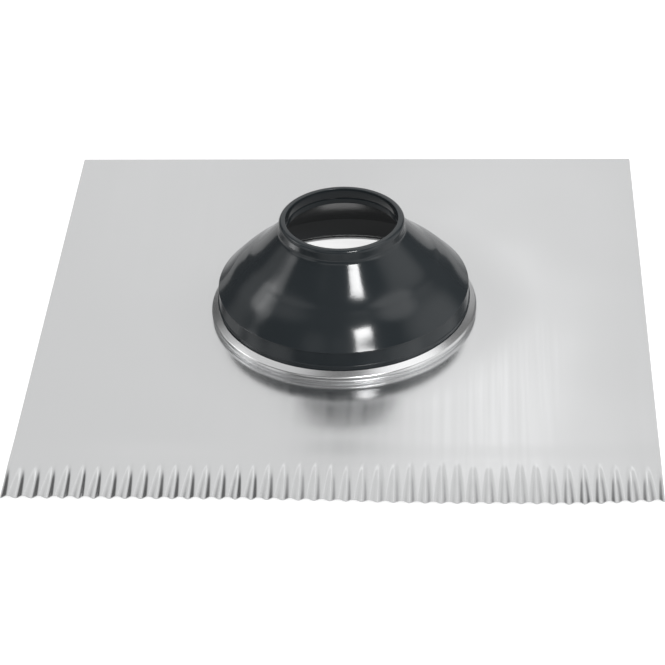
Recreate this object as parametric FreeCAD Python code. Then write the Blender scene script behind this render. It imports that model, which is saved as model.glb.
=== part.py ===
"""Pipe flashing boot: a soft aluminium base sheet with a rolled ring that holds a rubber cone.

Millimetres, +Z up.  The origin is the middle of the sheet's underside.  The crimped edge of the
sheet is its low edge on the roof and faces -Y.  The pipe runs along +Z through the rubber's mouth.
"""
import FreeCAD, Part
import math
import os

V = FreeCAD.Vector

# ---------------------------------------------------------------- driving dimensions, millimetres
SHEET = 0.8                # thickness of the aluminium
PLATE_WIDTH = 500.0        # along X
PLATE_DEPTH = 500.0        # along Y
HOLE_OFFSET = 6.0          # the pipe's axis stands this far behind the middle of the sheet

# rolled ring: the sheet turns up round its hole, rolls over and runs in over the rubber's foot
RING_RADIUS = 110.4        # widest point of the ring
RING_BULGE = 3.9           # height of that widest point over the sheet
RING_ROLL = 3.2            # outer radius of the roll
RING_ROLL_ANGLE = 58.0     # how far the roll goes round, degrees
RING_BAND = 5.0            # straight run from the roll to the ring's inner edge
RING_ROOT = 1.2            # fillet between the sheet and the ring

# rubber: foot in the ring, skirt, lip, cone and mouth; heights are over the sheet
SEAT_GAP = 0.05            # between the rubber and the ring that is closed on it
FOOT_LIFT = 3.0            # underside of the foot
FOOT_ROUND = 2.6           # rounding of the foot's inner edge
SKIRT_WALL = 3.0           # wall at the foot and the skirt
SKIRT_BEAD = 0.9           # fine bead round the skirt, just over the ring
BEAD_LIFT = 13.1
SKIRT_LEAN = 1.0           # how far the skirt leans in from the ring to the groove under the lip
CREASE_LIFT = 25.0         # that groove's height
LIP_OVERHANG = 1.2         # rounded lip at the bottom of the cone, out from the groove
LIP_ROUND = 0.7
LIP_HEIGHT = 1.3           # where the cone's face meets the lip, over the groove
CONE_SWELL = 0.7           # the cone swells by this low down and dips by it above the middle
MOUTH_RADIUS = 46.0        # bore that grips the pipe
MOUTH_DEPTH = 14.0         # length of the bore, with its roundings
MOUTH_WALL = 5.1           # wall of the neck
NECK_HEIGHT = 10.7         # from the end of the cone's face to the top of the rubber
NECK_FILLET = 6.0
RIM_LIFT = 88.3            # top of the rubber
RIM_ROUND = 3.2            # rounding of the rim's outside
RIM_EDGE = 0.7             # rounding of the rim's inside
RIM_BEAD = 0.4             # the rim stands this far out from the neck
GROOVE_DROP = 10.1         # ledge of the sealing groove round the bore, below the rim's top
GROOVE_HEIGHT = 2.0
GROOVE_DEPTH = 0.9
LEDGE_SLOPE = 0.3          # fall of the ledge towards the bore

# crimps: fine flutes that let the low edge be dressed down over the roofing
CRIMP_COUNT = 42
CRIMP_LENGTH = 45.0
CRIMP_HEIGHT = 2.6         # height of a ridge at the edge
CRIMP_STATIONS = (         # share of the length, share of the height, half width of the flute's
    (0.0, 0.0, 0.16),      # trough as a share of the pitch
    (0.16, 0.34, 0.22),
    (0.55, 0.76, 0.30),
    (1.0, 1.0, 0.40),
)


# ---------------------------------------------------------------- helpers for profiles in X and Z
def point(radius, height):
    return V(radius, 0, height)


def on_circle(centre, radius, degrees):
    turn = math.radians(degrees)
    return centre + V(radius * math.cos(turn), 0, radius * math.sin(turn))


def arc(centre, radius, start, end):
    """Arc about a centre, from one angle to another, in degrees from +X towards +Z."""
    middle = (start + end) / 2
    places = [on_circle(centre, radius, degrees) for degrees in (start, middle, end)]
    return Part.Arc(*places).toShape()


def line(start, end):
    return Part.makeLine(start, end)


def turned(edges):
    """Solid of revolution about Z from a closed profile, moved to the pipe's axis."""
    face = Part.Face(Part.Wire(edges))
    solid = face.revolve(V(0, 0, 0), V(0, 0, 1), 360)
    solid.translate(V(0, HOLE_OFFSET, 0))
    return solid


# ---------------------------------------------------------------- rolled ring's geometry
roll_centre = point(RING_RADIUS - RING_ROLL, SHEET + RING_BULGE)
root_lift = SHEET + RING_ROOT
root_reach = math.sqrt((RING_ROLL + RING_ROOT) ** 2 - (roll_centre.z - root_lift) ** 2)
root_centre = point(roll_centre.x + root_reach, root_lift)
ROOT_RADIUS = root_centre.x
join_angle = math.degrees(math.atan2(root_lift - roll_centre.z, root_reach))
band_run = on_circle(V(0, 0, 0), RING_BAND, RING_ROLL_ANGLE + 90)
edge_centre = on_circle(roll_centre, RING_ROLL - SHEET / 2, RING_ROLL_ANGLE) + band_run


def base_plate():
    """One sheet: flat, crimped along its low edge and spun up round its hole."""
    flat_depth = PLATE_DEPTH - CRIMP_LENGTH
    corner = V(-PLATE_WIDTH / 2, CRIMP_LENGTH - PLATE_DEPTH / 2, 0)
    flat = Part.makeBox(PLATE_WIDTH, flat_depth, SHEET, corner)
    hole = Part.makeCylinder(ROOT_RADIUS, 3 * SHEET, V(0, HOLE_OFFSET, -SHEET))
    sheet = flat.cut(hole).fuse([ring()] + crimps())
    return sheet.removeSplitter().Solids[0]


def ring():
    """The sheet's upturned collar: root fillet, roll and band, one thickness all the way."""
    band_angle = RING_ROLL_ANGLE
    inner_end = on_circle(roll_centre, RING_ROLL - SHEET, band_angle)
    outer_end = on_circle(roll_centre, RING_ROLL, band_angle)
    return turned([
        arc(root_centre, RING_ROOT + SHEET, 270, 180 + join_angle),
        arc(roll_centre, RING_ROLL - SHEET, join_angle, band_angle),
        line(inner_end, inner_end + band_run),
        arc(edge_centre, SHEET / 2, band_angle - 180, band_angle),
        line(outer_end + band_run, outer_end),
        arc(roll_centre, RING_ROLL, band_angle, join_angle),
        arc(root_centre, RING_ROOT, 180 + join_angle, 270),
        line(point(ROOT_RADIUS, SHEET), point(ROOT_RADIUS, 0)),
    ])


def crimps():
    """Row of equal flutes.  Each starts and ends in the middle of a trough, on the flat's level."""
    pitch = PLATE_WIDTH / CRIMP_COUNT
    sections = [crimp_section(pitch, *station) for station in CRIMP_STATIONS]
    flute = Part.makeLoft(sections, True, True)
    row = []
    for index in range(CRIMP_COUNT):
        copy = flute.copy()
        copy.translate(V(-PLATE_WIDTH / 2 + index * pitch, 0, 0))
        row.append(copy)
    return row


def crimp_section(pitch, along, rise, half_width):
    """Cross-section of one flute: half a trough, a rounded ridge, half a trough."""
    y = CRIMP_LENGTH * (1 - along) - PLATE_DEPTH / 2
    height = CRIMP_HEIGHT * rise
    spread = half_width * pitch
    outline = [
        (0.0, 0.0),
        (0.45 * spread, 0.22 * height),
        (spread, 0.80 * height),
        (pitch / 2, height),
        (pitch - spread, 0.80 * height),
        (pitch - 0.45 * spread, 0.22 * height),
        (pitch, 0.0),
    ]
    upper = crimp_curve([V(x, y, z + SHEET) for x, z in outline])
    lower = crimp_curve([V(x, y, z) for x, z in outline])
    ends = [line(V(x, y, 0), V(x, y, SHEET)) for x in (0.0, pitch)]
    return Part.Wire([lower, ends[1], upper, ends[0]])


def crimp_curve(places):
    curve = Part.BSplineCurve()
    curve.interpolate(places, InitialTangent=V(1, 0, 0), FinalTangent=V(1, 0, 0))
    return curve.toShape()


def rubber_boot():
    """One moulding: foot in the ring, skirt, lip, cone, neck and mouth with a sealing groove."""
    grip_radius = edge_centre.x - SHEET / 2 - SEAT_GAP
    grip = point(grip_radius, edge_centre.z)
    crease = point(grip_radius - SKIRT_LEAN, SHEET + CREASE_LIFT)
    knee = crease - V(SKIRT_WALL, 0, 0)

    # foot: fills the ring's hollow down past its widest point, so it is held both ways
    foot_arc = RING_ROLL - SHEET - SEAT_GAP
    foot_level = SHEET + FOOT_LIFT
    foot_angle = math.degrees(math.asin((foot_level - roll_centre.z) / foot_arc))
    foot_outer = on_circle(roll_centre, foot_arc, foot_angle)
    foot_top = on_circle(roll_centre, foot_arc, RING_ROLL_ANGLE)
    foot_centre = point(grip_radius - SKIRT_WALL + FOOT_ROUND, foot_level + FOOT_ROUND)

    # bead round the skirt
    bead_centre = point(grip_radius, SHEET + BEAD_LIFT)
    bead_low = on_circle(bead_centre, SKIRT_BEAD, -90)
    bead_high = on_circle(bead_centre, SKIRT_BEAD, 75)

    # outside of the cone, from the lip up to the neck
    rim_top = SHEET + RIM_LIFT
    neck_radius = MOUTH_RADIUS + MOUTH_WALL
    neck_foot = point(neck_radius, rim_top - NECK_HEIGHT)
    cone_foot = crease + V(LIP_OVERHANG - LIP_ROUND, 0, LIP_HEIGHT)
    slope = neck_foot - cone_foot
    outward = V(slope.z, 0, -slope.x).normalize()
    slope_angle = math.degrees(math.atan2(outward.z, outward.x))
    lip_centre = cone_foot - outward * LIP_ROUND
    cone_top = neck_foot - slope.normalize() * NECK_FILLET * math.tan(math.radians(slope_angle / 2))
    run = cone_top - cone_foot
    cone = Part.BSplineCurve()
    cone.interpolate([
        cone_foot,
        cone_foot + run * 0.25 + outward * CONE_SWELL,
        cone_foot + run * 0.45,
        cone_foot + run * 0.62 - outward * CONE_SWELL,
        cone_top,
    ])

    # neck and rim
    neck_centre = cone_top + outward * NECK_FILLET
    neck_low = point(neck_radius, neck_centre.z)
    rim_centre = point(neck_radius + RIM_BEAD - RIM_ROUND, rim_top - RIM_ROUND)
    rim_low = point(neck_radius, rim_centre.z - RIM_BEAD)
    rim_side = on_circle(rim_centre, RIM_ROUND, 0)
    edge_round = point(MOUTH_RADIUS + RIM_EDGE, rim_top - RIM_EDGE)

    # bore: two lands with a saw-tooth groove between them
    bore_foot = point(MOUTH_RADIUS, rim_top - MOUTH_DEPTH)
    ledge = point(MOUTH_RADIUS, rim_top - GROOVE_DROP)
    groove_foot = ledge + V(GROOVE_DEPTH, 0, LEDGE_SLOPE)
    groove_top = ledge + V(0, 0, GROOVE_HEIGHT)

    return turned([
        arc(roll_centre, foot_arc, foot_angle, RING_ROLL_ANGLE),
        line(foot_top, foot_top + band_run),
        arc(edge_centre, SHEET / 2 + SEAT_GAP, RING_ROLL_ANGLE - 180, -180),
        line(grip, bead_low),
        arc(bead_centre, SKIRT_BEAD, -90, 75),
        line(bead_high, crease),
        line(crease, on_circle(lip_centre, LIP_ROUND, -45)),
        arc(lip_centre, LIP_ROUND, -45, slope_angle),
        cone.toShape(),
        arc(neck_centre, NECK_FILLET, 180 + slope_angle, 180),
        line(neck_low, rim_low),
        line(rim_low, rim_side),
        arc(rim_centre, RIM_ROUND, 0, 90),
        line(on_circle(rim_centre, RIM_ROUND, 90), on_circle(edge_round, RIM_EDGE, 90)),
        arc(edge_round, RIM_EDGE, 90, 180),
        line(on_circle(edge_round, RIM_EDGE, 180), groove_top),
        line(groove_top, groove_foot),
        line(groove_foot, ledge),
        line(ledge, bore_foot),
        line(bore_foot, knee),
        line(knee, on_circle(foot_centre, FOOT_ROUND, 180)),
        arc(foot_centre, FOOT_ROUND, 180, 270),
        line(on_circle(foot_centre, FOOT_ROUND, 270), foot_outer),
    ])


# ---------------------------------------------------------------- the two pieces
os.makedirs("parts", exist_ok=True)
pieces = {"base_plate": base_plate(), "rubber_boot": rubber_boot()}
for name, shape in pieces.items():
    shape.exportStep("parts/" + name + ".step")
    box = shape.BoundBox
    print(name, shape.ShapeType, "solids", len(shape.Solids), "valid", shape.isValid(),
          "volume cm3 %.1f" % (shape.Volume / 1000),
          "x %.1f..%.1f y %.1f..%.1f z %.2f..%.2f" % (
              box.XMin, box.XMax, box.YMin, box.YMax, box.ZMin, box.ZMax))
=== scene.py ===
# %% [markdown]
# # Pipe flashing boot
#
# A roofer slips this part over a vent pipe.  A soft aluminium sheet goes under the tiles, a rubber
# cone grips the pipe, and a ring that is spun up out of the sheet holds the rubber's foot.
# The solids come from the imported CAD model.  This lesson gives them their finish, and where a shape
# wants more than the solid holds, it builds the same piece again with a finer surface.

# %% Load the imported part
import bpy
import bmesh
import math
from mathutils import Matrix, Vector


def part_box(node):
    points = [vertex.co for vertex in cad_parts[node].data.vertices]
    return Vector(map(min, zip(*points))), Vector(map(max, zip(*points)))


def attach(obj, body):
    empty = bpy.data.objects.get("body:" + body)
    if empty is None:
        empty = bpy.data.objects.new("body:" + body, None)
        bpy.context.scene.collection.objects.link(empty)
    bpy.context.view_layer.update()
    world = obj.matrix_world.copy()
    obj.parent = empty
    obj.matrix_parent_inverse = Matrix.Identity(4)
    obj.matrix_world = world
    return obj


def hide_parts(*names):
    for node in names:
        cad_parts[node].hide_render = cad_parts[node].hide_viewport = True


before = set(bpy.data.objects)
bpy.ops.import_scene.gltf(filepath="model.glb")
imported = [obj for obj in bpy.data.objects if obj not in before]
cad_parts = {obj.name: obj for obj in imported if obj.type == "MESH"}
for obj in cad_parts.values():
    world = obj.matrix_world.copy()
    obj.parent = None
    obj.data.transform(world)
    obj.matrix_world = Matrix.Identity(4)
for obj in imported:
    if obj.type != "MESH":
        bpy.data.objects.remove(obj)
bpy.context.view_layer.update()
MM = 0.001                 # the scene is in metres

# %% [markdown]
# ## Sizes
#
# The overall sizes are read from the solids, so that the dressed part can't drift from them.  The
# bends and walls of the ring and the rubber follow with their sections, where they are in
# millimetres, with heights taken from the floor.

# %% Sizes of the sheet and places of the rubber
sheet_low, sheet_high = (Vector(corner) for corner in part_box("base_plate"))
boot_low, boot_high = (Vector(corner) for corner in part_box("rubber_boot"))
THICKNESS = 0.8            # of the sheet, in millimetres
SHEET = THICKNESS * MM
SHEET_WIDTH = sheet_high.x - sheet_low.x
PIPE_Y = (boot_low.y + boot_high.y) / 2
RIM_TOP = boot_high.z
print("sheet", SHEET_WIDTH, "wide, pipe axis at y", PIPE_Y, "rim at", RIM_TOP)

# %% [markdown]
# ## Helpers for node trees
#
# Shapes and finishes are both made of nodes.  Three small helpers keep them readable: one adds a
# node, one links two sockets, one does a sum.  Two more begin and end a tree of Geometry Nodes.
# Every such tree has named inputs, and it ends in Realize Instances and Set Material, so that what
# comes out is one plain mesh with its finish on.

# %% Nodes, links and sums
def add(tree, kind, **properties):
    """Adds a node and sets its properties."""
    node = tree.nodes.new(kind)
    for name, value in properties.items():
        setattr(node, name, value)
    return node


def link(tree, source, target):
    tree.links.new(source, target)


def math_node(tree, operation, first, second=None):
    """A sum of one or two values, each a number or a socket."""
    node = add(tree, "ShaderNodeMath", operation=operation)
    for socket, value in zip(node.inputs, (first, second)):
        if isinstance(value, (int, float)):
            socket.default_value = value
        elif value is not None:
            link(tree, value, socket)
    return node.outputs[0]


# %% Beginning and ending a tree
def new_tree(name, inputs):
    """A tree with named inputs, each given as (name, kind).  Returns it and their sockets."""
    tree = bpy.data.node_groups.new(name, "GeometryNodeTree")
    for label, kind in inputs:
        tree.interface.new_socket(label, in_out="INPUT", socket_type="NodeSocket" + kind)
    tree.interface.new_socket("Made", in_out="OUTPUT", socket_type="NodeSocketGeometry")
    return tree, add(tree, "NodeGroupInput").outputs


def end_tree(tree, geometry, finish):
    real = add(tree, "GeometryNodeRealizeInstances")
    paint = add(tree, "GeometryNodeSetMaterial")
    result = add(tree, "NodeGroupOutput")
    link(tree, geometry, real.inputs["Geometry"])
    link(tree, real.outputs["Geometry"], paint.inputs["Geometry"])
    link(tree, finish, paint.inputs["Material"])
    link(tree, paint.outputs["Geometry"], result.inputs["Made"])


# %% [markdown]
# ## Turned shapes
#
# Ring and rubber are both turned shapes: a section drawn once and swept round the pipe's axis.  A
# section is a closed loop of points, where round stretches are worked out from a centre, a radius
# and two angles.  Geometry Nodes then sweep it: the section becomes a curve, a circle becomes the
# path, and Curve to Mesh does what a lathe does.  A Screw modifier could turn it as well, but here
# the reach and the steps are plain inputs, and one tree serves both pieces.

# %% Points of a section
def on_circle(centre, radius, degrees):
    turn = math.radians(degrees)
    return Vector((centre[0] + radius * math.cos(turn), centre[1] + radius * math.sin(turn)))


def arc(centre, radius, start, end, steps):
    """Points from one angle to another, both ends included."""
    return [on_circle(centre, radius, start + (end - start) * i / steps) for i in range(steps + 1)]


def run(start, end, steps):
    """Points on a straight run, without its ends."""
    start, end = Vector(start), Vector(end)
    return [start.lerp(end, i / steps) for i in range(1, steps)]


def smooth_run(places, steps):
    """Points on a smooth curve through a few places (a Catmull-Rom curve)."""
    padded = [places[0] * 2 - places[1]] + places + [places[-1] * 2 - places[-2]]
    points = []
    for a, b, c, d in zip(padded, padded[1:], padded[2:], padded[3:]):
        for i in range(steps):
            t = i / steps
            points.append(0.5 * ((2 * b) + (c - a) * t + (2 * a - 5 * b + 4 * c - d) * t * t
                                 + (3 * b - a - 3 * c + d) * t ** 3))
    return points + [places[-1]]


# %% The lathe
def lathe_tree():
    tree, given = new_tree("Lathe", (("Section", "Geometry"), ("Path Radius", "Float"),
                                     ("Steps", "Int"), ("Finish", "Material")))
    section = add(tree, "GeometryNodeMeshToCurve")
    path = add(tree, "GeometryNodeCurvePrimitiveCircle", mode="RADIUS")
    sweep = add(tree, "GeometryNodeCurveToMesh")
    link(tree, given["Section"], section.inputs["Mesh"])
    link(tree, given["Path Radius"], path.inputs["Radius"])
    link(tree, given["Steps"], path.inputs["Resolution"])
    link(tree, path.outputs["Curve"], sweep.inputs["Curve"])
    link(tree, section.outputs["Curve"], sweep.inputs["Profile Curve"])
    end_tree(tree, sweep.outputs["Mesh"], given["Finish"])
    return tree


LATHE = lathe_tree()
AROUND = 432               # steps round every turned surface
print("lathe", len(LATHE.nodes), "nodes")

# %% From a modifier to a plain mesh
def set_inputs(modifier, values):
    """Sets a modifier's inputs by their sockets' identifiers, found by the names shown."""
    names = {item.name: item.identifier for item in modifier.node_group.interface.items_tree
             if item.item_type == "SOCKET" and item.in_out == "INPUT"}
    for name, value in values.items():
        modifier[names[name]] = value


def evaluated_mesh(piece):
    """Plain mesh of a piece with its modifiers applied."""
    depsgraph = bpy.context.evaluated_depsgraph_get()
    return bpy.data.meshes.new_from_object(piece.evaluated_get(depsgraph))


# %% Turning a piece
def face_outwards(mesh):
    skin = bmesh.new()
    skin.from_mesh(mesh)
    bmesh.ops.recalc_face_normals(skin, faces=skin.faces)
    print(mesh.name, "volume in cm3", round(skin.calc_volume(signed=True) * 1e6, 1))
    skin.to_mesh(mesh)
    skin.free()


def turned(name, section, material):
    """Closed section of (radius, height) points, swept round the pipe's axis.

    The path runs through the outermost point, and a profile hangs from its path head down, so
    radii are taken from that point and heights change sign.
    """
    reach = max(p.x for p in section)
    count = len(section)
    edges = [(i, (i + 1) % count) for i in range(count)]
    flat = bpy.data.meshes.new(name + "_section")
    flat.from_pydata([(p.x - reach, -p.y, 0) for p in section], edges, [])
    piece = bpy.data.objects.new(name, flat)
    bpy.context.scene.collection.objects.link(piece)
    lathe = piece.modifiers.new("Lathe", "NODES")
    lathe.node_group = LATHE
    set_inputs(lathe, {"Path Radius": reach, "Steps": AROUND, "Finish": material})
    mesh = evaluated_mesh(piece)
    piece.modifiers.remove(lathe)
    piece.data = mesh
    mesh.transform(Matrix.Translation((0, PIPE_Y, 0)))
    face_outwards(mesh)
    return piece


# %% [markdown]
# ## Finishes
#
# Two finishes cover the whole part.  Both are noise patterns on Object coordinates, so they stay
# put on the piece, at their real size, and nothing has to be unwrapped or painted.
#
# The sheet is bright rolled aluminium: a metal with a low roughness that blurs what it mirrors,
# faint streaks along the rolling direction, and a surface that is never quite flat, which a gentle
# bump gives.  Spinning up the ring has left the sheet a touch dished round it, and the ring itself
# is duller where the tool has worked it.  The rubber is moulded and nearly black.  It shines
# softly, and handling has left fine scuffs on it.

# %% A material and its patterns
def new_material(name):
    material = bpy.data.materials.new(name)
    material.use_nodes = True
    tree = material.node_tree
    shader = tree.nodes["Principled BSDF"]
    return material, tree, shader


def pattern(tree, scale, detail, stretch=(1, 1, 1)):
    """Noise on object coordinates, in features per metre, squeezed along each axis."""
    place = add(tree, "ShaderNodeTexCoord")
    mapping = add(tree, "ShaderNodeMapping")
    mapping.inputs["Scale"].default_value = stretch
    noise = add(tree, "ShaderNodeTexNoise")
    noise.inputs["Scale"].default_value = scale
    noise.inputs["Detail"].default_value = detail
    link(tree, place.outputs["Object"], mapping.inputs["Vector"])
    link(tree, mapping.outputs["Vector"], noise.inputs["Vector"])
    return noise.outputs["Fac"]


def spread(tree, source, low, high, start=0.3, end=0.7):
    """Spreads the middle of a noise, or another range, over a range of values."""
    node = add(tree, "ShaderNodeMapRange")
    for name, value in (("From Min", start), ("From Max", end), ("To Min", low), ("To Max", high)):
        node.inputs[name].default_value = value
    link(tree, source, node.inputs["Value"])
    return node.outputs["Result"]


# %% Bumps, and the distance from the axis
def bumps(tree, shader, layers):
    """Stacks bump layers, each given by its height pattern and its depth in metres."""
    previous = None
    for height, depth in layers:
        bump = add(tree, "ShaderNodeBump")
        bump.inputs["Strength"].default_value = 1.0
        bump.inputs["Distance"].default_value = depth
        link(tree, height, bump.inputs["Height"])
        if previous:
            link(tree, previous, bump.inputs["Normal"])
        previous = bump.outputs["Normal"]
    link(tree, previous, shader.inputs["Normal"])


def from_axis(tree):
    """Distance from the pipe's axis."""
    place = add(tree, "ShaderNodeTexCoord")
    shift = add(tree, "ShaderNodeVectorMath", operation="SUBTRACT")
    shift.inputs[1].default_value = (0, PIPE_Y, 0)
    level = add(tree, "ShaderNodeVectorMath", operation="MULTIPLY")
    level.inputs[1].default_value = (1, 1, 0)
    reach = add(tree, "ShaderNodeVectorMath", operation="LENGTH")
    link(tree, place.outputs["Object"], shift.inputs[0])
    link(tree, shift.outputs[0], level.inputs[0])
    link(tree, level.outputs[0], reach.inputs[0])
    return reach.outputs["Value"]


# %% Aluminium
RING_ROUGHNESS = 0.24
SHEET_ROUGHNESS = (0.16, 0.20)        # between and on the streaks
RING_TO_SHEET = (0.1125, 0.125)       # radii between which the ring's finish gives way
DISH_REACH = (0.110, 0.164)           # radii between which the dish rises to the ring
DISH_DEPTH = 1.9 * MM
WAVE_DEPTH = 1.2 * MM
STREAK_DEPTH = 0.001 * MM


def aluminium():
    material, tree, shader = new_material("rolled_aluminium")
    shader.inputs["Metallic"].default_value = 0.96
    shader.inputs["Base Color"].default_value = (0.80, 0.805, 0.81, 1)
    radius = from_axis(tree)
    flat = spread(tree, radius, 0.0, 1.0, *RING_TO_SHEET)      # 0 on the ring, 1 on the sheet
    ring = math_node(tree, "SUBTRACT", 1.0, flat)
    dish = math_node(tree, "POWER", spread(tree, radius, 1.0, 0.0, *DISH_REACH), 2.0)
    streaks = pattern(tree, scale=1.0, detail=3, stretch=(220, 3, 220))
    sheen = math_node(tree, "MULTIPLY", spread(tree, streaks, *SHEET_ROUGHNESS), flat)
    sheen = math_node(tree, "ADD", sheen, math_node(tree, "MULTIPLY", ring, RING_ROUGHNESS))
    link(tree, sheen, shader.inputs["Roughness"])
    waves = pattern(tree, scale=7.0, detail=1)
    fine = math_node(tree, "MULTIPLY", streaks, flat)
    bumps(tree, shader, [(waves, WAVE_DEPTH), (fine, STREAK_DEPTH), (dish, DISH_DEPTH)])
    return material


ALUMINIUM = aluminium()
print("finish", ALUMINIUM.name)

# %% Rubber
RUBBER_ROUGHNESS = (0.10, 0.15)
CLOUD_DEPTH = 0.1 * MM
GRAIN_DEPTH = 0.005 * MM


def rubber():
    material, tree, shader = new_material("moulded_rubber")
    shader.inputs["Base Color"].default_value = (0.030, 0.037, 0.042, 1)
    clouds = pattern(tree, scale=35.0, detail=4)
    link(tree, spread(tree, clouds, *RUBBER_ROUGHNESS), shader.inputs["Roughness"])
    grain = pattern(tree, scale=900.0, detail=3)
    bumps(tree, shader, [(clouds, CLOUD_DEPTH), (grain, GRAIN_DEPTH)])
    return material


RUBBER = rubber()
print("finish", RUBBER.name)

# %% [markdown]
# ## The rubber boot
#
# From the bottom up: a foot that the ring closes on, a short skirt that leans in and has a fine
# bead round it, a lip, the cone, a short neck, and a rounded rim round the mouth.  The cone's face
# swells a little low down and dips above its middle.  The mouth has one fine groove, and below it
# the inside follows the cone.  Nothing on it changes on the way round, so it is turned in one go.
# The foot takes its shape from the ring, so the ring's roll and the straight band that closes on
# the rubber come first.

# %% Sizes of the ring, in millimetres
ROLL_CENTRE = Vector((107.2, 4.7))    # radius and height
ROLL_RADIUS = 3.2
ROLL_ANGLE = 58                       # where the roll ends and the band begins
BAND_LENGTH = 5.0
SEAT_GAP = 0.05                       # between the ring and the rubber
BAND_RUN = on_circle((0, 0), BAND_LENGTH, ROLL_ANGLE + 90)
EDGE_CENTRE = on_circle(ROLL_CENTRE, ROLL_RADIUS - THICKNESS / 2, ROLL_ANGLE) + BAND_RUN
GRIP_RADIUS = EDGE_CENTRE.x - THICKNESS / 2 - SEAT_GAP
print("the ring grips the rubber at a radius of", round(GRIP_RADIUS, 2))

# %% Sizes of the rubber, in millimetres
SKIRT_LEAN = 1.0
SKIRT_WALL = 3.0
BEAD_RADIUS = 0.9
BEAD_HEIGHT = 13.9
CREASE_HEIGHT = 25.8                  # groove under the lip
LIP_ROUND = 0.7
CONE_FOOT = Vector((0.5, 1.3))        # from the crease
CONE_TOP = Vector((52.97, RIM_TOP / MM - 12.5))
CONE_ANGLE = 46.5                     # how far up the cone faces where lip and neck meet it
CONE_SWELL = 0.7
NECK_FILLET = 6.0
RIM_ROUND = 3.2
RIM_BEAD = 0.4                        # the rim stands this far out from the neck
RIM_EDGE = 0.7                        # rounding of the rim's inside
BORE = 46.0
BORE_DEPTH = 14.0
LEDGE_DROP = 10.1                     # of the groove's lower edge, from the top
GROOVE = (Vector((0, 2.0)), Vector((0.9, 0.3)))      # upper and deepest corner, from the ledge
FOOT_INSET = 2.0                      # of the centre of the foot's inner rounding
FOOT_HEIGHT = 9.8
FOOT_ROUND = 1.0
print("mouth", 2 * BORE, "across, cone's top at", CONE_TOP)

# %% Section of the rubber boot
def cone_face(foot, top, outward):
    """The cone's outside: it swells low down and dips above the middle."""
    slope = top - foot
    swell = outward * CONE_SWELL
    return smooth_run([
        foot,
        foot + slope * 0.25 + swell,
        foot + slope * 0.45,
        foot + slope * 0.62 - swell,
        top,
    ], 10)


def rubber_section():
    top = RIM_TOP / MM
    crease = Vector((GRIP_RADIUS - SKIRT_LEAN, CREASE_HEIGHT))
    knee = crease - Vector((SKIRT_WALL, 0))
    foot = crease + CONE_FOOT
    slope = CONE_TOP - foot
    outward = Vector((slope.y, -slope.x)).normalized()
    neck_centre = CONE_TOP + outward * NECK_FILLET
    rim_centre = (neck_centre.x - NECK_FILLET + RIM_BEAD - RIM_ROUND, top - RIM_ROUND)
    ledge = Vector((BORE, top - LEDGE_DROP))
    bore_foot = Vector((BORE, top - BORE_DEPTH))

    # the foot inside the roll, round the ring's edge, the bead, and the skirt up to the crease
    points = arc(ROLL_CENTRE, ROLL_RADIUS - THICKNESS - SEAT_GAP, -8, ROLL_ANGLE, 8)
    points += arc(EDGE_CENTRE, THICKNESS / 2 + SEAT_GAP, ROLL_ANGLE - 180, -180, 4)
    points += arc((GRIP_RADIUS, BEAD_HEIGHT), BEAD_RADIUS, -90, 75, 12)
    points += run(points[-1], crease, 4)
    points += [crease]
    # the lip, the cone, the fillet to the neck, and the rim
    points += arc(foot - outward * LIP_ROUND, LIP_ROUND, -45, CONE_ANGLE - 3, 6)
    points += cone_face(foot, CONE_TOP, outward)
    points += arc(neck_centre, NECK_FILLET, 180 + CONE_ANGLE, 180, 8)[1:]
    points += arc(rim_centre, RIM_ROUND, -8, 90, 12)
    points += arc((BORE + RIM_EDGE, top - RIM_EDGE), RIM_EDGE, 90, 180, 5)
    # down the bore past its groove, along the inside to the knee, and the foot's inner rounding
    points += [ledge + corner for corner in GROOVE]
    points += [ledge, bore_foot]
    points += run(bore_foot, knee, 10)
    points += [knee]
    points += arc((GRIP_RADIUS - FOOT_INSET, FOOT_HEIGHT), FOOT_ROUND, 180, 235, 4)
    return [p * MM for p in points]


boot = turned("boot", rubber_section(), RUBBER)
print("rubber boot", len(boot.data.polygons), "faces")

# %% [markdown]
# ## The ring
#
# The sheet is one piece of metal with three regions: the turned ring, the flat with its hole, and
# the crimps along the low edge.  Each is made in the way that suits it, and then they are joined
# into one closed skin.  The ring comes first, because the hole follows from it.  It leaves the
# flat in a tight bend, bulges into a roll, and closes on the rubber with a straight band.  It could
# be pulled up out of the flat's own faces, but a turned section keeps one thickness all the way.

# %% The ring's section
ROOT_FILLET = 0.6          # of the tight bend, in millimetres


def ring_section():
    root_height = THICKNESS + ROOT_FILLET
    rise = ROLL_CENTRE.y - root_height
    reach = math.sqrt((ROLL_RADIUS + ROOT_FILLET) ** 2 - rise ** 2)
    root = (ROLL_CENTRE.x + reach, root_height)
    join = math.degrees(math.atan2(-rise, reach))      # where bend and roll meet
    # up the inner side, round the edge, and back down the outer side
    points = arc(root, ROOT_FILLET + THICKNESS, 270, 180 + join, 8)
    points += arc(ROLL_CENTRE, ROLL_RADIUS - THICKNESS, join, ROLL_ANGLE, 10)[1:]
    points += arc(EDGE_CENTRE, THICKNESS / 2, ROLL_ANGLE - 180, ROLL_ANGLE, 8)
    points += arc(ROLL_CENTRE, ROLL_RADIUS, ROLL_ANGLE, join, 24)
    points += arc(root, ROOT_FILLET, 180 + join, 270, 8)[1:]
    return [p * MM for p in points]


ring = turned("ring", ring_section(), ALUMINIUM)
HOLE_RADIUS = ring_section()[0].x     # the section starts at the bend's foot
print("ring", len(ring.data.polygons), "faces, hole radius", round(HOLE_RADIUS / MM, 2))

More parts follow.
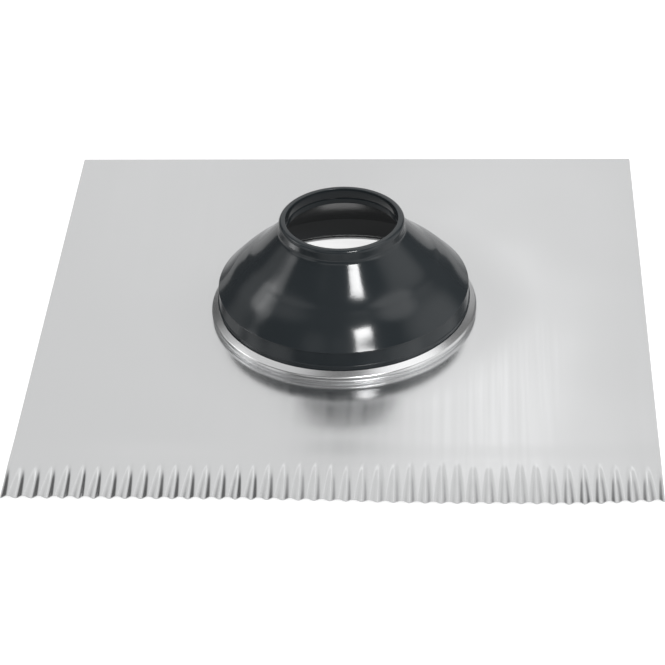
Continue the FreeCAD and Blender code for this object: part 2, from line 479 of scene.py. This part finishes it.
# %% [markdown]
# ## The crimps
#
# A row of crimps lets the low edge be dressed down over the tiles.  They begin in a slight swell.
# Narrow troughs open into it and widen up to the edge, while the ridges between them go on rising.
# A slow drift from one trough to the next makes them uneven, the way a hand tool leaves them, and
# the edge bows out where they are shallow.
#
# All of it is one rule on a grid: each point's height follows from how far it has come towards the
# edge and how far it stands from the nearest trough's middle.  So one tree moves the points of a
# grid, and no crimp is made by itself.

# %% Sizes of the crimps
CRIMP_COUNT = 42
CRIMP_LENGTH = 45 * MM
CRIMP_HEIGHT = 2.5 * MM
CRIMP_BOW = 6.0 * MM       # how far the edge bows out where it does so most
SWELL_LENGTH = 30 * MM     # the sheet swells a little before the crimps
SWELL_HEIGHT = 0.9 * MM
CRIMP_STEPS = 18           # grid columns across one crimp
CRIMP_ROWS = 40            # and rows along it
FLAT_Y = sheet_low.y + CRIMP_LENGTH + SWELL_LENGTH     # where the level part begins
print("crimps", CRIMP_COUNT, "each", round(SHEET_WIDTH / CRIMP_COUNT / MM, 2), "mm wide")

# %% Shape of the crimps
# Runs are in shares of the crimps' length, spans in shares of the sheet's width from its middle,
# and a trough's width is in crimp widths.
SWELL_RUN = 1.3            # the swell goes on rising for this many of its lengths
CLIMB_POWER = 1.4          # the ridges' climb steepens with this power of the way
TROUGH_HALF = 0.18         # half a trough's width where it begins
TROUGH_OPENING = 0.30      # and how much wider it gets
OPENING_RUN = (-0.2, 1.1)
DEPTH_RUN = (0.0, 0.55)
CALM_SHARE = 0.26          # troughs right of the middle are shallower by this share
CALM_RISE, CALM_FALL = (-0.13, 0.03), (0.41, 0.29)
BOW_LEAST = 0.3            # share of the bow that the whole edge has
BOW_RISE, BOW_FALL = (-0.16, 0.18), (0.34, 0.5)
CRIMP_SEED = 4
DRIFT_SCALE = 0.23         # of the slow drifts, per trough
TRACK_STEP = 31.7          # how far apart their tracks are read
START_DRIFT = (-0.02, 0.08, 0)         # least and most, and the track
WIDTH_DRIFT = (-0.04, 0.04, 7)
print("troughs open from", 2 * TROUGH_HALF, "to", 2 * (TROUGH_HALF + TROUGH_OPENING), "of a crimp")

# %% Smooth steps and slow drifts
def ramp(tree, value, start, end):
    """Smooth step from 0 to 1 between two values, each a number or a socket."""
    node = add(tree, "ShaderNodeMapRange", interpolation_type="SMOOTHSTEP")
    link(tree, value, node.inputs["Value"])
    for name, limit in (("From Min", start), ("From Max", end)):
        if isinstance(limit, (int, float)):
            node.inputs[name].default_value = limit
        else:
            link(tree, limit, node.inputs[name])
    return node.outputs["Result"]


def drift(tree, size, number, low, high, track):
    """A value that wanders slowly from one trough to the next.  Each track wanders its own way."""
    noise = add(tree, "ShaderNodeTexNoise", noise_dimensions="1D")
    noise.inputs["Scale"].default_value = DRIFT_SCALE
    noise.inputs["Detail"].default_value = 1.0
    seed = math_node(tree, "ADD", size["Seed"], track)
    seed = math_node(tree, "MULTIPLY", seed, TRACK_STEP)
    link(tree, math_node(tree, "ADD", number, seed), noise.inputs["W"])
    wander = spread(tree, noise.outputs["Fac"], low, high)
    return math_node(tree, "MULTIPLY", wander, size["Unevenness"])


# %% Ridges and troughs
def ridge_height(tree, size, reached, along):
    """A swell, and from where the crimps begin a climb that steepens towards the edge."""
    swell_end = math_node(tree, "MULTIPLY", size["Swell Length"], SWELL_RUN)
    swell = math_node(tree, "MULTIPLY", ramp(tree, reached, 0.0, swell_end), size["Swell Height"])
    climb = math_node(tree, "POWER", math_node(tree, "MAXIMUM", along, 0.0), CLIMB_POWER)
    rest = math_node(tree, "SUBTRACT", size["Height"], size["Swell Height"])
    return math_node(tree, "ADD", swell, math_node(tree, "MULTIPLY", climb, rest))


def trough_share(tree, size, x, across, along):
    """Share of the ridge's height that the troughs take away: 1 in their middle, 0 on a ridge."""
    pitch = math_node(tree, "DIVIDE", size["Width"], size["Count"])
    cell = math_node(tree, "ADD", math_node(tree, "DIVIDE", x, pitch),
                     math_node(tree, "DIVIDE", size["Count"], 2))
    number = math_node(tree, "ROUND", cell)
    aside = math_node(tree, "ABSOLUTE", math_node(tree, "SUBTRACT", cell, number))

    begun = math_node(tree, "SUBTRACT", along, drift(tree, size, number, *START_DRIFT))
    half = math_node(tree, "MULTIPLY", ramp(tree, begun, *OPENING_RUN), TROUGH_OPENING)
    half = math_node(tree, "ADD", math_node(tree, "ADD", half, TROUGH_HALF),
                     drift(tree, size, number, *WIDTH_DRIFT))
    wall = math_node(tree, "SUBTRACT", 1.0, ramp(tree, aside, 0.0, half))

    calm = math_node(tree, "MULTIPLY", ramp(tree, across, *CALM_RISE),
                     ramp(tree, across, *CALM_FALL))      # 1 right of the middle, 0 elsewhere
    calm = math_node(tree, "SUBTRACT", 1.0, math_node(tree, "MULTIPLY", calm, CALM_SHARE))
    depth = math_node(tree, "MULTIPLY", ramp(tree, begun, *DEPTH_RUN), calm)
    return math_node(tree, "MULTIPLY", wall, depth)


def edge_bow(tree, size, across, along):
    """How far the crimps reach out beyond the straight edge, most to the right of its middle."""
    bowed = math_node(tree, "SUBTRACT", ramp(tree, across, *BOW_RISE),
                      ramp(tree, across, *BOW_FALL))
    bowed = math_node(tree, "MULTIPLY", bowed, 1 - BOW_LEAST)
    bowed = math_node(tree, "ADD", bowed, BOW_LEAST)
    bowed = math_node(tree, "MULTIPLY", bowed, math_node(tree, "MAXIMUM", along, 0.0))
    return math_node(tree, "MULTIPLY", bowed, math_node(tree, "MULTIPLY", size["Bow"], -1.0))


# %% The tree that shapes the grid
def crimp_tree():
    tree, size = new_tree("Crimps", (
        ("Width", "Float"), ("Length", "Float"), ("Height", "Float"), ("Swell Length", "Float"),
        ("Swell Height", "Float"), ("Count", "Int"), ("Bow", "Float"), ("Unevenness", "Float"),
        ("Seed", "Int"), ("Finish", "Material")))
    grid = add(tree, "GeometryNodeMeshGrid")
    whole = math_node(tree, "ADD", size["Length"], size["Swell Length"])
    columns = math_node(tree, "MULTIPLY", size["Count"], CRIMP_STEPS)
    link(tree, size["Width"], grid.inputs["Size X"])
    link(tree, whole, grid.inputs["Size Y"])
    link(tree, math_node(tree, "ADD", columns, 1), grid.inputs["Vertices X"])
    grid.inputs["Vertices Y"].default_value = CRIMP_ROWS

    place = add(tree, "ShaderNodeSeparateXYZ")
    link(tree, add(tree, "GeometryNodeInputPosition").outputs[0], place.inputs[0])
    # reached is the way from the grid's back row, along is the share of the crimps' own length
    reached = math_node(tree, "SUBTRACT", math_node(tree, "MULTIPLY", whole, 0.5),
                        place.outputs["Y"])
    along = math_node(tree, "DIVIDE", math_node(tree, "SUBTRACT", reached, size["Swell Length"]),
                      size["Length"])
    across = math_node(tree, "DIVIDE", place.outputs["X"], size["Width"])

    ridge = ridge_height(tree, size, reached, along)
    taken = trough_share(tree, size, place.outputs["X"], across, along)
    fall = math_node(tree, "MULTIPLY", taken, ridge)
    offset = add(tree, "ShaderNodeCombineXYZ")
    link(tree, edge_bow(tree, size, across, along), offset.inputs["Y"])
    link(tree, math_node(tree, "SUBTRACT", ridge, fall), offset.inputs["Z"])
    move = add(tree, "GeometryNodeSetPosition")
    link(tree, grid.outputs["Mesh"], move.inputs["Geometry"])
    link(tree, offset.outputs[0], move.inputs["Offset"])
    end_tree(tree, move.outputs["Geometry"], size["Finish"])
    return tree


# %% The crimped edge
def crimped_edge():
    """Upper face of the crimps as a plain mesh, in its place on the sheet."""
    piece = bpy.data.objects.new("crimped_edge", bpy.data.meshes.new("crimped_edge"))
    bpy.context.scene.collection.objects.link(piece)
    made = piece.modifiers.new("Crimps", "NODES")
    made.node_group = crimp_tree()
    set_inputs(made, {"Width": SHEET_WIDTH, "Length": CRIMP_LENGTH, "Height": CRIMP_HEIGHT,
                      "Swell Length": SWELL_LENGTH, "Swell Height": SWELL_HEIGHT,
                      "Count": CRIMP_COUNT, "Bow": CRIMP_BOW, "Unevenness": 1.0,
                      "Seed": CRIMP_SEED, "Finish": ALUMINIUM})
    mesh = evaluated_mesh(piece)
    bpy.data.objects.remove(piece)
    middle = (sheet_low.y + FLAT_Y) / 2
    mesh.transform(Matrix.Translation((0, middle, SHEET)))
    return mesh


crimp_skin = crimped_edge()
print("crimps", len(crimp_skin.polygons), "faces")

# %% [markdown]
# ## One skin
#
# Now the three regions become one sheet.  They could simply touch, but metal that mirrors would
# show each seam, so their points are merged.  The crimps get a lower skin, one thickness down, and
# walls along their outer sides.  The level part is two faces with a hole, filled with triangles
# between the crimps' back row and the ring's foot, so every point has a partner to merge with.
# It is exactly flat, and it stays flat-shaded.  A closed skin has two faces on each edge, and the
# count of open edges shows that nothing gapes.

# %% The level part
NEAR = 0.01 * MM           # points this close to a line count as on it
MERGE = 0.002 * MM


def add_flat(skin, height, back_row):
    """A level face round the hole, whose low side takes the points of the crimps' back row."""
    corners = [(sheet_high.x, sheet_high.y), (sheet_low.x, sheet_high.y)]
    outline = [(x, FLAT_Y) for x in back_row] + corners
    hole = [(HOLE_RADIUS * math.cos(2 * math.pi * i / AROUND),
             PIPE_Y + HOLE_RADIUS * math.sin(2 * math.pi * i / AROUND)) for i in range(AROUND)]
    edges = []
    for loop in (outline, hole):
        verts = [skin.verts.new((x, y, height)) for x, y in loop]
        for a, b in zip(verts, verts[1:] + verts[:1]):
            edges.append(skin.edges.new((a, b)))
    bmesh.ops.triangle_fill(skin, edges=edges, use_beauty=True)


def add_side_walls(skin):
    """Walls along the level part's left, right and back edges."""
    front_left, back_left = (sheet_low.x, FLAT_Y), (sheet_low.x, sheet_high.y)
    front_right, back_right = (sheet_high.x, FLAT_Y), (sheet_high.x, sheet_high.y)
    for a, b in ((front_left, back_left), (front_right, back_right), (back_left, back_right)):
        wall = [(*a, 0), (*b, 0), (*b, SHEET), (*a, SHEET)]
        skin.faces.new([skin.verts.new(place) for place in wall])


# %% The crimps' two skins
def add_crimps(skin):
    """The crimps' upper and lower skin, and the walls round the outer sides.

    Returns where the points of the back row stand along the sheet.
    """
    places = [v.co.copy() for v in crimp_skin.vertices]
    upper = [skin.verts.new(p) for p in places]
    lower = [skin.verts.new(p - Vector((0, 0, SHEET))) for p in places]
    for polygon in crimp_skin.polygons:
        face = list(polygon.vertices)
        skin.faces.new([upper[i] for i in face])
        skin.faces.new([lower[i] for i in reversed(face)])
    rims = {}
    for polygon in crimp_skin.polygons:
        for a, b in polygon.edge_keys:
            rims[(a, b)] = rims.get((a, b), 0) + 1
    back = FLAT_Y - NEAR
    for (a, b), used in rims.items():
        if used == 1 and min(places[a].y, places[b].y) < back:
            skin.faces.new([upper[a], upper[b], lower[b], lower[a]])
    return sorted(p.x for p in places if p.y > back)


# %% Ring, flat and crimps become one sheet
def open_hole(skin):
    """Takes out faces that lie across the joint of ring and flat, inside the metal."""
    def on_rim(vert):
        return abs(math.hypot(vert.co.x, vert.co.y - PIPE_Y) - HOLE_RADIUS) < NEAR

    inner = [face for face in skin.faces if all(on_rim(vert) for vert in face.verts)]
    bmesh.ops.delete(skin, geom=inner, context="FACES")


def flashing_sheet():
    skin = bmesh.new()
    skin.from_mesh(ring.data)
    back_row = add_crimps(skin)
    for height in (0, SHEET):
        add_flat(skin, height, back_row)
    add_side_walls(skin)
    bmesh.ops.remove_doubles(skin, verts=skin.verts, dist=MERGE)
    open_hole(skin)
    bmesh.ops.recalc_face_normals(skin, faces=skin.faces)
    open_edges = sum(1 for e in skin.edges if len(e.link_faces) != 2)
    mesh = bpy.data.meshes.new("sheet")
    skin.to_mesh(mesh)
    skin.free()
    mesh.materials.append(ALUMINIUM)
    piece = bpy.data.objects.new("sheet", mesh)
    bpy.context.scene.collection.objects.link(piece)
    print("sheet", len(mesh.polygons), "faces, open edges", open_edges)
    return piece


sheet = flashing_sheet()
bpy.data.objects.remove(ring)

# %% [markdown]
# ## Shading and handing over
#
# Round surfaces are shaded smooth, and edges sharper than 40 degrees stay crisp.  Level faces are
# kept flat, so that no bend's shading bleeds into them.  Each piece then stands in for its solid:
# it hangs from the root body's empty, and the solid it stands for is hidden.

# %% Smooth shading, and what each piece stands for
CRISP_ANGLE = 40           # degrees
LEVEL = 0.9999999          # how upright a level face's normal is


def shade(piece):
    """Smooth shading except across crisp edges and on level faces."""
    mesh = piece.data
    mesh.shade_smooth()
    mesh.set_sharp_from_angle(angle=math.radians(CRISP_ANGLE))
    for polygon in mesh.polygons:
        if abs(polygon.normal.z) > LEVEL:
            polygon.use_smooth = False
    mesh.update()


for piece, node, name in ((sheet, "base_plate", "aluminium"), (boot, "rubber_boot", "rubber")):
    shade(piece)
    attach(piece, "root")
    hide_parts(node)
    print(piece.name, "stands for", node)

# %% [markdown]
# ## The studio
#
# The floor and the backdrop are white to the camera.  Mirrors see a pale floor, and it still takes
# the part's shadow.  What the part mirrors is a plain room, drawn as soft round patches on a dim
# sky: a pale wall behind, which the whole sheet mirrors, a doorway at the left, windows along the
# right, and a dimmer wall in front.  The rubber stays dark because little of the room is bright
# from its side.  One small window of light stands in front and high up.  Real lamps could do all of
# this, but soft patches on the world have no edges that metal would show.

# %% The floor
FLOOR_SIZE = 30
FLOOR_DROP = 0.2 * MM      # below the part, so that the two don't share a plane
FLOOR_SEEN = 0.8           # its glow to the camera
FLOOR_MIRRORED = 0.3       # and in mirrors
FLOOR_MATTE = (0.55, 0.55, 0.55, 1)


def white_floor():
    bpy.ops.mesh.primitive_plane_add(size=FLOOR_SIZE, location=(0, 0, -FLOOR_DROP))
    floor = bpy.context.object
    floor.name = "floor"
    material = bpy.data.materials.new("white_floor")
    material.use_nodes = True
    tree = material.node_tree
    tree.nodes.clear()
    paths = add(tree, "ShaderNodeLightPath")
    mirrored = math_node(tree, "MAXIMUM", paths.outputs["Is Glossy Ray"],
                         paths.outputs["Is Transmission Ray"])
    seen = math_node(tree, "MULTIPLY", paths.outputs["Is Camera Ray"], FLOOR_SEEN)
    mirrored = math_node(tree, "MULTIPLY", mirrored, FLOOR_MIRRORED)
    matte = add(tree, "ShaderNodeBsdfDiffuse")
    matte.inputs["Color"].default_value = FLOOR_MATTE
    glow = add(tree, "ShaderNodeEmission")
    link(tree, math_node(tree, "ADD", seen, mirrored), glow.inputs["Strength"])
    both = add(tree, "ShaderNodeAddShader")
    output = add(tree, "ShaderNodeOutputMaterial")
    link(tree, matte.outputs[0], both.inputs[0])
    link(tree, glow.outputs[0], both.inputs[1])
    link(tree, both.outputs[0], output.inputs["Surface"])
    floor.data.materials.append(material)
    return floor


ground = white_floor()
print(ground.name, "at height", round(ground.location.z / MM, 2), "mm")

# %% The room's patches of light
ROOM_LEVEL = 0.8           # brightness of the whole room
DIM_SKY = 0.10             # between the patches
SKY_PATCHES = (            # azimuth, elevation, inner and outer radius in degrees, brightness
    (179, 27, 20, 39, 0.82),       # pale wall behind
    (132, 30, 6, 24, 0.08),        # its right-hand end
    (179.3, 36.4, 0, 2.6, 0.85),   # and three brighter spots on it
    (179, 31.8, 0, 4, 0.10),
    (-172, 31.4, 0, 3, 0.12),
    (168, 60, 8, 22, 0.70),        # ceiling behind
    (-94, 36, 0, 9, 2.5),          # doorway at the left
    (-105, 35, 0, 10, 2.5),
    (-114, 28, 2, 20, 0.55),       # the wall round it
    (-84, 14, 4, 15, 1.3),         # the floor it lights
    (-98, 62, 10, 26, 0.78),       # and the ceiling
    (88, 14, 18, 38, 0.95),        # windows along the right
    (38, -2, 12, 34, 0.7),         # the floor they light
    (95, 62, 14, 23, 1.45),        # and the ceiling
    (-58, 16, 6, 19, 0.90),        # wall in front, from left to right
    (-27, 37, 4, 17, 0.55),
    (-2, 37, 4, 17, 0.55),
    (23, 37, 4, 17, 0.55),
    (57, 20, 6, 18, 0.70),
    (-5, 58, 10, 36, 0.06),        # ceiling in front
)
print("room with", len(SKY_PATCHES), "patches of light")

# %% The room as a world
def way_to(azimuth, elevation):
    """Direction by azimuth, 0 in front and 90 at the right, and by height above the horizon."""
    turn, lift = math.radians(azimuth), math.radians(elevation)
    return Vector((math.sin(turn) * math.cos(lift), -math.cos(turn) * math.cos(lift),
                   math.sin(lift)))


def sky_patch(tree, direction, azimuth, elevation, inner, outer, gain):
    """Light that is full inside one angle from a direction and fades out up to another."""
    aim = add(tree, "ShaderNodeVectorMath", operation="DOT_PRODUCT")
    link(tree, direction, aim.inputs[0])
    aim.inputs[1].default_value = way_to(azimuth, elevation)
    patch = add(tree, "ShaderNodeMapRange", interpolation_type="SMOOTHSTEP")
    for name, value in (("From Min", math.cos(math.radians(outer))),
                        ("From Max", math.cos(math.radians(inner))),
                        ("To Min", 0.0), ("To Max", gain)):
        patch.inputs[name].default_value = value
    link(tree, aim.outputs["Value"], patch.inputs["Value"])
    return patch.outputs["Result"]


def studio_world():
    world = bpy.data.worlds.new("studio")
    bpy.context.scene.world = world
    world.use_nodes = True
    tree = world.node_tree
    tree.nodes.clear()
    direction = add(tree, "ShaderNodeTexCoord").outputs["Generated"]
    level = DIM_SKY
    for patch in SKY_PATCHES:
        level = math_node(tree, "ADD", level, sky_patch(tree, direction, *patch))
    paths = add(tree, "ShaderNodeLightPath")
    strength = add(tree, "ShaderNodeMix", data_type="FLOAT")
    link(tree, paths.outputs["Is Camera Ray"], strength.inputs[0])
    link(tree, math_node(tree, "MULTIPLY", level, ROOM_LEVEL), strength.inputs[2])
    strength.inputs[3].default_value = 1.0      # the camera sees plain white
    glow = add(tree, "ShaderNodeBackground")
    glow.inputs["Color"].default_value = (1, 1, 1, 1)
    output = add(tree, "ShaderNodeOutputWorld")
    link(tree, strength.outputs[0], glow.inputs["Strength"])
    link(tree, glow.outputs[0], output.inputs["Surface"])


studio_world()
print("world", bpy.context.scene.world.name)

# %% The window in front
CONE_MIDDLE = Vector((0, PIPE_Y, 0.05))


def softbox(name, azimuth, elevation, distance, width, height, radiance):
    """A rectangle of light that faces the cone, of an even radiance."""
    lamp = bpy.data.lights.new(name, "AREA")
    lamp.shape = "RECTANGLE"
    lamp.size = width
    lamp.size_y = height
    lamp.energy = radiance * math.pi * width * height
    holder = bpy.data.objects.new(name, lamp)
    bpy.context.scene.collection.objects.link(holder)
    way = way_to(azimuth, elevation)
    holder.location = CONE_MIDDLE + way * distance
    holder.rotation_euler = way.to_track_quat("Z", "Y").to_euler()
    return holder


window = softbox("front_window", azimuth=24, elevation=50.5, distance=1.6,
                 width=0.34, height=0.20, radiance=28)
print(window.name, "at", tuple(round(value, 2) for value in window.location))

# %% [markdown]
# ## The camera
#
# It looks down on the low edge from in front and a little from the right, through a long lens,
# and is tilted a touch.  The view transform is Standard, so colours come out as they are written.

# %% Camera
CAMERA_PLACE = (0.10109, -1.70716, 1.15356)
CAMERA_TURN = 3.731        # degrees to the left of straight ahead
CAMERA_DIP = 34.456        # degrees below the level
CAMERA_TILT = -1.987       # degrees round its own line of sight


def camera():
    lens = bpy.data.cameras.new("camera")
    lens.lens = 133.87
    lens.sensor_width = 36
    lens.clip_end = 50
    holder = bpy.data.objects.new("camera", lens)
    bpy.context.scene.collection.objects.link(holder)
    turn = Matrix.Rotation(math.radians(CAMERA_TURN), 4, "Z")
    dip = Matrix.Rotation(math.radians(90 - CAMERA_DIP), 4, "X")
    tilt = Matrix.Rotation(math.radians(CAMERA_TILT), 4, "Z")
    holder.matrix_world = Matrix.Translation(CAMERA_PLACE) @ turn @ dip @ tilt
    bpy.context.scene.camera = holder


camera()
bpy.context.scene.view_settings.view_transform = "Standard"
print("camera at", CAMERA_PLACE)
